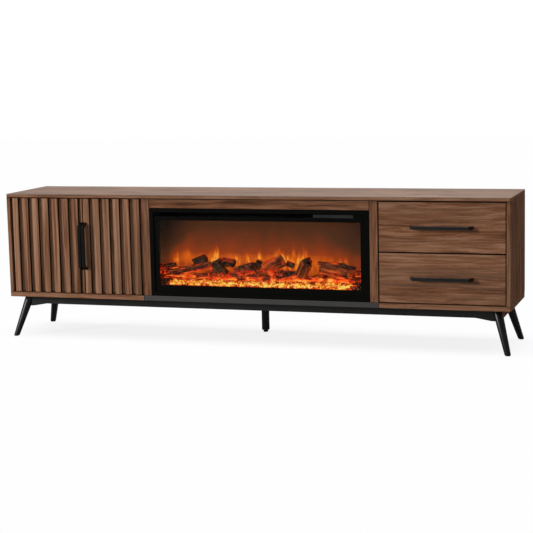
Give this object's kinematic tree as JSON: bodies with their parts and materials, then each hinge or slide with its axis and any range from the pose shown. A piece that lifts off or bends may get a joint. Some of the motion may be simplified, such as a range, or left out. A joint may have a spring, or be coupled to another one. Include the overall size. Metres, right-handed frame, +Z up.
{
  "type": "fireplace tv stand",
  "caption": "Long low walnut media cabinet on leaning round black steel legs, with battened doors, an electric fireplace insert in the middle and drawers at the right",
  "frame": {"origin": "on the floor, under the centre of the whole object's bounding box, pulls included", "axes": "+Z up, +X along the cabinet to the right as seen from the front, the front faces -Y"},
  "size_m": [2, 0.377, 0.574],
  "materials": {
    "walnut_top": "satin walnut veneer foil, lighter in the light from above",
    "walnut": "satin walnut veneer foil",
    "grey_board": "matt dark grey-brown board",
    "hardboard": "thin dark hardboard",
    "drawer_board": "grey-brown drawer board",
    "black_metal": "satin black powder coat",
    "zinc_steel": "zinc plated sheet and pins",
    "insert_black": "smooth satin black paint",
    "black_plastic": "fine textured black plastic",
    "fire_glass": "clear flat glass with a faint smoke tint",
    "flame_film": "dark screen that glows orange with the flame picture",
    "ember_resin": "glowing crushed ember bed",
    "log_resin": "charred log mouldings with glowing cracks",
    "rotor_foil": "thin bright reflector flaps"
  },
  "bodies": {
    "cabinet": {"top_panel": "walnut_top", "left_side_panel": "walnut", "right_side_panel": "walnut", "left_bottom_panel": "walnut", "centre_bottom_panel": "grey_board", "right_bottom_panel": "walnut", "left_partition": "walnut", "right_partition": "walnut", "centre_top_rail": "walnut", "left_back_panel": "hardboard", "centre_back_panel": "hardboard", "right_back_panel": "hardboard", "cabinet_shelf": "walnut", "left_door_lower_pivot": "zinc_steel", "left_door_upper_pivot": "zinc_steel", "right_door_lower_pivot": "zinc_steel", "right_door_upper_pivot": "zinc_steel", "door_magnet_catch": "black_plastic", "lower_left_cabinet_runner": "zinc_steel", "lower_right_cabinet_runner": "zinc_steel", "upper_left_cabinet_runner": "zinc_steel", "upper_right_cabinet_runner": "zinc_steel", "fireplace_trim": "insert_black", "fireplace_front_plate": "insert_black", "fireplace_control_strip": "black_plastic", "fireplace_glass": "fire_glass", "fireplace_housing": "zinc_steel", "heater_duct": "zinc_steel", "flame_screen": "flame_film", "ember_bed": "ember_resin", "log_pile": "log_resin", "power_inlet": "black_plastic", "front_left_leg": "black_metal", "front_right_leg": "black_metal", "back_left_leg": "black_metal", "back_right_leg": "black_metal", "front_rail": "black_metal", "back_rail": "black_metal", "left_apron": "walnut", "right_apron": "walnut", "centre_leg": "black_metal"},
    "left_door": {"left_door": "walnut", "left_door_handle": "black_metal"},
    "right_door": {"right_door": "walnut", "right_door_handle": "black_metal"},
    "lower_drawer": {"lower_drawer_front": "walnut", "lower_drawer_box": "drawer_board", "lower_drawer_bottom": "drawer_board", "lower_drawer_handle": "black_metal", "lower_left_drawer_runner": "zinc_steel", "lower_right_drawer_runner": "zinc_steel"},
    "upper_drawer": {"upper_drawer_front": "walnut", "upper_drawer_box": "drawer_board", "upper_drawer_bottom": "drawer_board", "upper_drawer_handle": "black_metal", "upper_left_drawer_runner": "zinc_steel", "upper_right_drawer_runner": "zinc_steel"},
    "flicker_rotor": {"flicker_rotor": "rotor_foil"},
    "blower_wheel": {"blower_wheel": "black_plastic"},
    "power_rocker": {"power_rocker": "black_plastic"}
  },
  "joints": [
    {"name": "left_door_hinge", "type": "hinge", "parent": "cabinet", "child": "left_door", "pos_m": [-0.963, -0.1525, 0.3705], "axis": [0, 0, -1], "range_deg": [0, 100]},
    {"name": "right_door_hinge", "type": "hinge", "parent": "cabinet", "child": "right_door", "pos_m": [-0.443, -0.1525, 0.3705], "axis": [0, 0, 1], "range_deg": [0, 100]},
    {"name": "lower_drawer_slide", "type": "slide", "parent": "cabinet", "child": "lower_drawer", "axis": [0, -1, 0], "range_m": [0, 0.24]},
    {"name": "upper_drawer_slide", "type": "slide", "parent": "cabinet", "child": "upper_drawer", "axis": [0, -1, 0], "range_m": [0, 0.24]},
    {"name": "flicker_spin", "type": "hinge", "parent": "cabinet", "child": "flicker_rotor", "pos_m": [0.0465, -0.036, 0.225], "axis": [1, 0, 0], "continuous": true},
    {"name": "blower_spin", "type": "hinge", "parent": "cabinet", "child": "blower_wheel", "pos_m": [-0.0525, -0.06255, 0.49935], "axis": [1, 0, 0], "continuous": true},
    {"name": "power_rocker_tilt", "type": "hinge", "parent": "cabinet", "child": "power_rocker", "pos_m": [0.42167, -0.0079, 0.303], "axis": [1, 0, 0], "range_deg": [-14, 0]}
  ]
}
